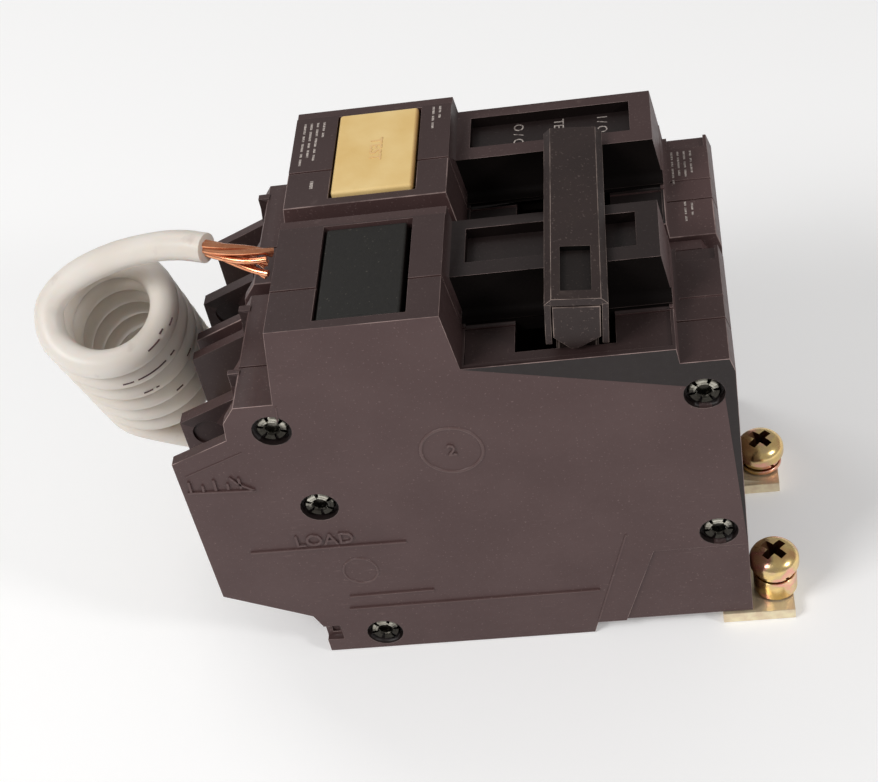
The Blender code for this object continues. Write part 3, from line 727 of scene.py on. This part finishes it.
# Painted shade: the button's +X side, facing into the opening's gap, is darkened to brown-orange.
yellow_shaded_side = yellow.axis("X").between(button_high.x * MM - 0.0005, button_high.x * MM - 0.0001)
yellow_tone = yellow.mix(yellow_cloud, (0.77, 0.52, 0.19), (0.86, 0.63, 0.28))
yellow_tone = yellow.mix(yellow_shaded_side * 0.6, yellow_tone, (0.35, 0.13, 0.02))
yellow.surface(Base_Color=yellow_tone, Roughness=yellow.noise(900, 3) * 0.2 + 0.32)
yellow.bump(yellow.noise(1400, 3), 0.00005, 0.35)
paint(button, yellow.material)
button_middle = (button_low + button_high) / 2
word_place = (button_middle.x, button_middle.y, button_high.z)
word = lettering("TEST", 2.6, 0.09, word_place, (0, 0, -pi / 2))
word.name = "test_word"
word_finish = Finish("button_word", 0.5)
word_tone = word_finish.mix(word_finish.noise(1200), (0.82, 0.58, 0.28), (0.74, 0.44, 0.17))
word_finish.surface(Base_Color=word_tone)
paint(word, word_finish.material)
for part in (button, word):
    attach(part, "test")
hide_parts("test_button")

# ---- Line terminals ---------------------------------------------------------------------------
# Tinned straps come out under the raised end of the case. Each takes a yellow-passivated pan-head
# screw with a cross recess, a split lock washer and a flat washer.
HEAD_RADIUS = 3.85
SHANK_RADIUS = 1.72
THREAD_PITCH = 0.8
# Painted shade: the cross recess is coloured dark brown in place of the yellow passivate.
shaded_recess_zinc = Finish("shaded_recess_zinc", 0.4, 1.0)
recess_shade_tone = shaded_recess_zinc.mix(shaded_recess_zinc.noise(1400, 3), (0.10, 0.045, 0.02), (0.26, 0.13, 0.07))
shaded_recess_zinc.surface(Base_Color=recess_shade_tone)
PASSIVATE_BANDS = [(0.28, (0.80, 0.46, 0.22)), (0.42, (0.95, 0.70, 0.30)), (0.50, (0.78, 0.58, 0.30)),
                   (0.56, (0.92, 0.46, 0.36)), (0.68, (0.98, 0.72, 0.40))]
passivate = Finish("yellow_zinc", 0.22, 1.0)
bands = passivate.noise(210, 3)
hue = passivate.node("ValToRGB", {"stops": PASSIVATE_BANDS}, {"Fac": bands})
passivate.surface(Base_Color=hue, Roughness=passivate.noise(1500, 4) * 0.22 + 0.12)
passivate.bump(passivate.noise(900, 3), 0.00003, 0.4)
tinned = Finish("tinned_copper", 0.32, 0.6)
tin_grain = tinned.noise(600, 4, (1.0, 0.15, 1.0))
tin_tone = tinned.mix(tin_grain.between(0.35, 0.65), (0.88, 0.78, 0.54), (0.74, 0.60, 0.42))
tinned.surface(Base_Color=tin_tone, Roughness=tin_grain * 0.3 + 0.2)
tinned.bump(tin_grain, 0.00004, 0.5)


def pan_head(x, y, seat):
    """Domed head with a tapered cross recess, its underside at a height."""
    radius = HEAD_RADIUS
    head = bar((x, y, seat + 0.5), radius, 1.0, sides=48)
    edit(head)
    choose(head, "FACE", lambda face: face.normal.z > 0.9)
    for next_radius, rise in ((3.8, 0.35), (3.55, 0.5), (3.1, 0.5), (2.4, 0.4), (1.5, 0.2), (0.6, 0.05)):
        bpy.ops.mesh.extrude_region_move(TRANSFORM_OT_translate={"value": (0, 0, rise * MM)})
        share = next_radius / radius
        bpy.ops.transform.resize(value=(share, share, 1), center_override=(x * MM, y * MM, 0))
        radius = next_radius
    done()
    paint(head, passivate.material)
    for turn in (pi / 4, 3 * pi / 4):
        slot = block((-2.9, -0.80, -1.9), (2.9, 0.80, 1.6), "slot")
        reshape(slot, lambda at: at.z < 0, scale=(0.28, 0.5, 1))
        slot.rotation_euler = (0, 0, turn)
        slot.location = Vector((x, y, seat + 2.6)) * MM
        settle(slot)
        # The cut's faces carry the dark painted shade into the head.
        paint(slot, shaded_recess_zinc.material)
        combine(head, slot, material_mode="TRANSFER")
    return head


def rolled_thread(x, y, length):
    """Thread of triangular section wound up the shank, as far as a length."""
    bpy.ops.mesh.primitive_circle_add(vertices=3, radius=0.36 * MM, location=(0, 0, 0),
                                      rotation=(pi / 2, 0, 0))
    thread = settle(bpy.context.object, "thread")
    thread.data.transform(Matrix.Translation(Vector((SHANK_RADIUS + 0.04, 0, THREAD_PITCH)) * MM))
    edit(thread)
    bpy.ops.mesh.select_all(action="SELECT")
    bpy.ops.mesh.edge_face_add()
    done()
    turns = int((length - 2 * THREAD_PITCH) / THREAD_PITCH)
    winding = thread.modifiers.new("winding", "SCREW")
    winding.axis = "Z"
    winding.angle = 2 * pi * turns
    winding.screw_offset = THREAD_PITCH * MM * turns
    winding.steps = winding.render_steps = 18 * turns
    apply(winding)
    edit(thread)
    bpy.ops.mesh.select_all(action="SELECT")
    bpy.ops.mesh.normals_make_consistent(inside=False)
    done()
    thread.location = (x * MM, y * MM, 0)
    return settle(thread)


def pan_head_screw(x, y, seat, name):
    """Screw along Z with its head's underside at a height: head, shank and thread."""
    head = pan_head(x, y, seat)
    shank = bar((x, y, (seat + 0.6) / 2 + 0.1), SHANK_RADIUS, seat + 0.2, sides=32)
    thread = rolled_thread(x, y, seat)
    paint(shank, passivate.material)
    paint(thread, passivate.material)
    screw = join([head, shank, thread], name)
    smooth(screw, 35)
    return screw


for pole, pole_y in POLE_STARTS.items():
    body = f"{pole}_screw"
    lock_low, lock_high = (Vector(corner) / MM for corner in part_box(f"{pole}_lock_washer"))
    middle = (lock_low + lock_high) / 2
    screw = pan_head_screw(middle.x, middle.y, lock_high.z + 0.3, f"{pole}_pan_screw")
    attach(screw, body)
    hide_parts(f"{pole}_line_screw")
    washer = welded_copy(f"{pole}_lock_washer", f"{pole}_split_washer")
    gap = block((-0.2, 1.5, -1.5), (0.2, 4.5, 1.5))
    gap.rotation_euler = (0, radians(28), radians(-150))
    gap.location = middle * MM
    settle(gap)
    combine(washer, gap)
    soften(washer, 0.14)
    paint(washer, passivate.material)
    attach(washer, body)
    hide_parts(f"{pole}_lock_washer")
    flat = welded_copy(f"{pole}_flat_washer", f"{pole}_plain_washer")
    soften(flat, 0.15)
    paint(flat, passivate.material)
    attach(flat, body)
    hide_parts(f"{pole}_flat_washer")
    strap = welded_copy(f"{pole}_line_strap", f"{pole}_tinned_strap")
    soften(strap, 0.2)
    paint(strap, tinned.material)
    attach(strap, "case")
    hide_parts(f"{pole}_line_strap")

# ---- Parts inside the case --------------------------------------------------------------------
# Lugs, contact system, arc plates and the ground-fault board, each kept as modelled in the CAD and
# given its own worked finish.
copper = Finish("drawn_copper", 0.2, 1.0)
copper_grain = copper.noise(800, 4)
copper_tone = copper.mix(copper_grain.between(0.3, 0.7), (0.93, 0.44, 0.25), (0.74, 0.27, 0.13))
copper.surface(Base_Color=copper_tone, Roughness=copper_grain * 0.25 + 0.08)
copper.bump(copper_grain, 0.00002, 0.4)
board = Finish("board_lacquer", 0.35)
tracks = board.node("TexVoronoi", {"feature": "DISTANCE_TO_EDGE"}, {"Vector": board.place, "Scale": 420.0})
board.surface(Base_Color=board.mix(tracks < 0.06, (0.020, 0.105, 0.045), (0.045, 0.19, 0.085)))
board.bump(tracks < 0.06, 0.00004, 0.6)
winding_finish = Finish("enamelled_wire", 0.3)
wound = winding_finish.node("TexWave", {"bands_direction": "DIAGONAL"},
                            {"Vector": winding_finish.place, "Scale": 700.0, "Distortion": 0.6})
winding_finish.surface(Base_Color=winding_finish.mix(wound, (0.12, 0.03, 0.012), (0.48, 0.17, 0.06)))
winding_finish.bump(wound, 0.00012, 0.8)
KEPT = {
    "load_lug": tinned.material, "lug_screw": plated.material, "contact_arm": copper.material,
    "arc_chute": plated.material, "bimetal": copper.material, "toggle_spring": plated.material,
    "braid": copper.material,
}
for pole in POLE_STARTS:
    for part, surface in KEPT.items():
        paint(frame["nodes"][f"{pole}_{part}"], surface)
for node, surface in (("test_spring", plated.material), ("trip_bar", black_moulding),
                      ("circuit_board", board.material), ("sensing_coil", winding_finish.material),
                      ("trip_solenoid", winding_finish.material), ("solenoid_plunger", plated.material)):
    paint(frame["nodes"][node], surface)

# ---- Neutral lead -----------------------------------------------------------------------------
# Stranded copper wire in soft white PVC, wound into a close coil by hand. It leaves the case low on
# the load end, stands beside it in its own stiff coil, and ends in a stretch of bare twisted strands.
WIRE_RADIUS = 2.25
COIL_RADIUS = 9.0
COIL_PITCH = 4.6
COIL_START = 0.575           # turns past the left of the top loop
COIL_TURNS = 6.22
COIL_STEPS = 14
COIL_TOP = Vector((-56.9, 0.3, 55.7))
COIL_AXIS = Vector((0, -0.41, 0.912)).normalized()
WIRE_EXIT = Vector((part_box("far_cover")[0][0] / MM, 5.9, 20.0))
FREE_END = Vector((-36.6, -4.0, 68.6))
BARE_END = Vector((-27.6, -5.0, 65.2))


def coil_point(turn, grow=0.0):
    """Point on the wire's centre line, counted in turns down from the left of the top loop."""
    side = Vector((1, 0, 0))
    up = COIL_AXIS.cross(side)
    angle = 2 * pi * turn
    ring = side * cos(angle) + up * sin(angle)
    return COIL_TOP - COIL_AXIS * COIL_PITCH * (turn - 0.5) + ring * (COIL_RADIUS + grow)


def smooth_route(knots, per_span):
    """Points along a smooth curve through the knots."""
    ends = [2 * knots[0] - knots[1]] + knots + [2 * knots[-1] - knots[-2]]
    route = []
    for a, b, c, d in zip(ends, ends[1:], ends[2:], ends[3:]):
        for step in range(per_span):
            t = step / per_span
            route.append(0.5 * ((2 * b) + (c - a) * t + (2 * a - 5 * b + 4 * c - d) * t * t
                                + (3 * b - a - 3 * c + d) * t ** 3))
    return route + [knots[-1]]


def wire(name, routes, radius, sides):
    """Round wires along routes, as a curve with filled ends."""
    bpy.ops.curve.primitive_bezier_curve_add()
    made = bpy.context.object
    made.name = name
    made.location = (0, 0, 0)
    made.data.splines.clear()
    made.data.dimensions = "3D"
    made.data.bevel_depth = radius * MM
    made.data.bevel_resolution = sides
    made.data.use_fill_caps = True
    for route in routes:
        spline = made.data.splines.new("POLY")
        spline.points.add(len(route) - 1)
        for point, place in zip(spline.points, route):
            point.co = (*(place * MM), 1)
        spline.use_smooth = True
    made.select_set(False)
    return made


free_knots = [FREE_END, Vector((-40.0, -2.65, 68.45)), Vector((-43.6, -1.35, 67.75)),
              Vector((-46.9, -0.4, 66.8)), Vector((-50.4, 0.45, 65.65)), Vector((-53.5, 1.1, 64.4)),
              Vector((-56.2, 1.45, 63.2)), Vector((-58.8, 1.5, 62.0)), Vector((-61.2, 1.35, 60.6)),
              Vector((-63.5, 0.8, 58.9)), Vector((-65.2, -0.5, 56.7))]
coil_knots = [coil_point(COIL_START + i / COIL_STEPS) for i in range(int(COIL_STEPS * COIL_TURNS))]
LEAD_STEPS = ((-7.0, -1.2, 2.2), (-4.2, -0.5, 0.6), (-1.4, 0, 0), (2.0, 0, 0))
lead_knots = [WIRE_EXIT + Vector(step) for step in LEAD_STEPS]
lead_route = smooth_route(free_knots + coil_knots + lead_knots, 3)
lead_length = sum((b - a).length for a, b in zip(lead_route, lead_route[1:])) * MM
lead = wire("neutral_lead", [lead_route], WIRE_RADIUS, 6)
pvc = Finish("white_pvc", 0.38)
pvc_cloud = pvc.noise(70, 3).between(0.3, 0.7)
pvc_tone = pvc.mix(pvc_cloud, (0.73, 0.665, 0.59), (0.79, 0.745, 0.69))
grime = pvc.noise(330, 4).between(0.64, 0.78)
pvc_tone = pvc.mix(grime * 0.3, pvc_tone, (0.42, 0.32, 0.30))
pvc.surface(Base_Color=pvc_tone, Roughness=pvc.noise(500, 3) * 0.2 + 0.3, Subsurface_Weight=0.35,
            Subsurface_Radius=(1.0, 0.6, 0.4), Subsurface_Scale=0.002)
pvc.bump(pvc.noise(350, 3), 0.00008, 0.3)
paint(lead, pvc.material)

bare_axis = (BARE_END - FREE_END).normalized()
bare_side = bare_axis.cross(Vector((0, 0, 1))).normalized()
bare_up = bare_side.cross(bare_axis)
CUT_SHORT = (0.0, 0.2, 0.9, 0.3, 0.0, 0.6, 0.4)
CORE_STRAND = 6
STRAND_STEPS = 18
strands = []
for strand, short in enumerate(CUT_SHORT):
    reach = (BARE_END - FREE_END).length - short
    route = []
    for step in range(STRAND_STEPS + 1):
        t = step / STRAND_STEPS
        spread = 0.0 if strand == CORE_STRAND else 1.02 + 1.25 * t ** 1.5
        angle = 2 * pi * strand / 6 + 1.9 * t
        offset = bare_side * cos(angle) * spread * 0.72 + bare_up * sin(angle) * spread
        route.append(FREE_END + bare_axis * (reach * t - 0.6 + 0.6 * t) + offset * (0.8 + 0.2 * t))
    strands.append(route)
fan = wire("bare_strands", strands, 0.5, 3)
paint(fan, copper.material)
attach(fan, "case")
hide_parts("copper_strands")
# Surface print along the outside of the upper turns, as plain dashes: first and last turn, and the
# angle up from the middle of the wire's outside.
DASHES = ((0.868, 0.905, 38), (0.915, 0.93, 50), (0.945, 0.965, 30), (1.775, 1.80, 18),
          (1.81, 1.885, 18), (1.90, 1.915, 18), (2.80, 2.822, 12), (2.83, 2.838, 12),
          (2.93, 2.95, 12), (3.86, 3.88, 10))
dash_routes = []
for start, stop, lift in DASHES:
    route = []
    for step in range(9):
        turn = start + (stop - start) * step / 8
        centre = coil_point(turn)
        outward = (coil_point(turn, 1.0) - centre).normalized()
        lean = outward * cos(radians(lift)) + COIL_AXIS * sin(radians(lift))
        route.append(centre + lean * (WIRE_RADIUS - 0.03))
    dash_routes.append(route)
dashes = wire("lead_print", dash_routes, 0.13, 2)
dash_ink = Finish("lead_ink", 0.6)
dash_ink.surface(Base_Color=dash_ink.mix(dash_ink.noise(1800), (0.050, 0.018, 0.022), (0.16, 0.085, 0.085)))
paint(dashes, dash_ink.material)
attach(dashes, "case")
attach(lead, "case")
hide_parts("pigtail_lead", "pigtail_coil", "pigtail_end")

# ---- Studio -----------------------------------------------------------------------------------
# Pale floor under a weak sky, a large soft key from above the load end on the near side, a rim light
# from the load end on the far side, and a small bright lamp at the line end for glints.
bpy.ops.mesh.primitive_plane_add(size=4, location=(0, 0, -0.0002))
floor = bpy.context.object
floor.name = "studio_floor"
floor_finish = Finish("studio_floor", 0.7)
floor_tone = floor_finish.mix(floor_finish.noise(3), (0.86, 0.86, 0.86), (0.88, 0.88, 0.88))
floor_finish.surface(Base_Color=floor_tone, Emission_Color=(1.0, 1.0, 1.0), Emission_Strength=0.2)
paint(floor, floor_finish.material)
world = bpy.data.worlds.new("studio")
world.use_nodes = True
sky = world.node_tree.nodes["Background"]
sky.inputs["Color"].default_value = (1.0, 0.985, 0.97, 1)
sky.inputs["Strength"].default_value = 0.34
bpy.context.scene.world = world
bpy.context.scene.view_settings.view_transform = "Standard"


def soft_light(name, place, size, power):
    bpy.ops.object.light_add(type="AREA", location=place)
    lamp = bpy.context.object
    lamp.name = name
    lamp.data.size = size
    lamp.data.energy = power
    lamp.rotation_euler = (Vector((0, 0, 0.03)) - Vector(place)).to_track_quat("-Z", "Y").to_euler()
    lamp.select_set(False)


soft_light("key", (-0.46, -0.36, 0.60), 0.30, 3.2)
soft_light("rim", (-0.35, 0.35, 0.60), 0.25, 0.8)
soft_light("glint", (0.50, -0.26, 0.36), 0.10, 1.0)

# ---- Camera -----------------------------------------------------------------------------------
# A short telephoto above the near side, turned a little towards the line end and rolled, so that
# the whole breaker and the coiled lead fill the frame.
CAMERA_AZIMUTH = radians(11.443)
CAMERA_ELEVATION = radians(43.386)
CAMERA_ROLL = radians(-13.147)
bpy.ops.object.camera_add(location=(0.03266, -0.20385, 0.22827))
camera = bpy.context.object
aim = Euler((pi / 2 - CAMERA_ELEVATION, 0, CAMERA_AZIMUTH), "XYZ").to_matrix()
camera.rotation_euler = (aim @ Matrix.Rotation(CAMERA_ROLL, 3, "Z")).to_euler()
camera.data.sensor_width = 36
camera.data.lens = 73.86
bpy.context.scene.camera = camera
